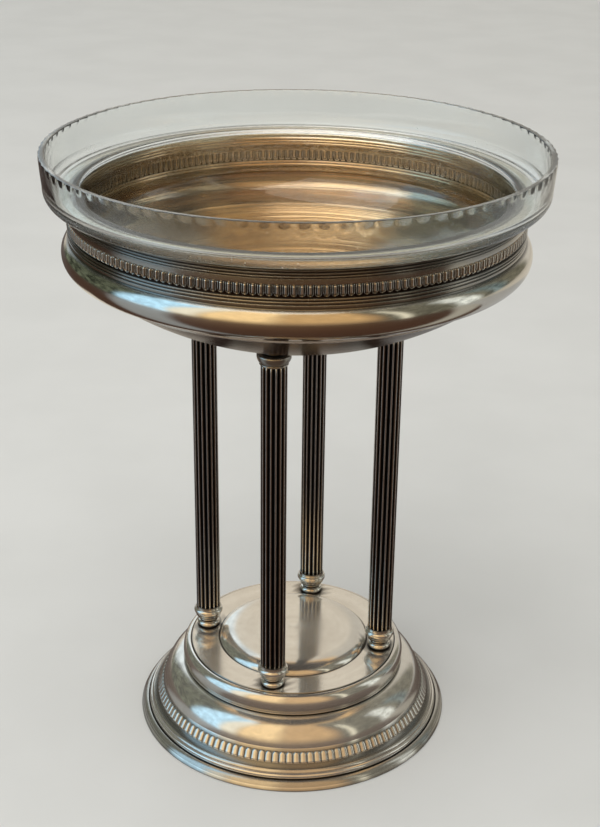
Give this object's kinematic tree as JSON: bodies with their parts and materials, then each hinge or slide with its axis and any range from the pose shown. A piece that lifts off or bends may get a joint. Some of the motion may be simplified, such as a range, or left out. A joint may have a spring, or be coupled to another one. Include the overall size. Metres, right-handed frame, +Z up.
{
  "type": "table centerpiece",
  "caption": "Table centerpiece: a round plated bowl with a lift-out clear glass liner, raised on fluted columns over a stepped and beaded round base.",
  "frame": {"origin": "centre of the rest ring under the base, on the table plane", "axes": "+Z up the centerpiece's axis, +X out through column 1, +Y out through column 2"},
  "size_m": [0.28, 0.28, 0.36],
  "materials": {
    "satin_silver": "silver plate, worn to a soft satin with fine spinning marks",
    "bright_silver": "polished silver plate with light pitting and warm tarnish in the recesses",
    "dark_silver": "silver plate with dark tarnish in the flutes and rubbed ribs",
    "fastener_steel": "plain dull steel",
    "clear_glass": "clear pressed and cut glass with a ground rim"
  },
  "bodies": {
    "stand": {"base_shell": "satin_silver", "bowl_shell": "bright_silver", "column_foot_1": "bright_silver", "column_foot_2": "bright_silver", "column_foot_3": "bright_silver", "column_foot_4": "bright_silver", "column_shaft_1": "dark_silver", "column_shaft_2": "dark_silver", "column_shaft_3": "dark_silver", "column_shaft_4": "dark_silver", "column_capital_1": "bright_silver", "column_capital_2": "bright_silver", "column_capital_3": "bright_silver", "column_capital_4": "bright_silver", "tie_rod_1": "fastener_steel", "tie_rod_2": "fastener_steel", "tie_rod_3": "fastener_steel", "tie_rod_4": "fastener_steel", "washer_1": "fastener_steel", "washer_2": "fastener_steel", "washer_3": "fastener_steel", "washer_4": "fastener_steel", "nut_1": "fastener_steel", "nut_2": "fastener_steel", "nut_3": "fastener_steel", "nut_4": "fastener_steel"},
    "liner": {"glass_liner": "clear_glass"}
  },
  "joints": [
    {"name": "liner_lift", "type": "slide", "parent": "stand", "child": "liner", "axis": [0, 0, 1], "range_m": [0, 0.09]}
  ]
}
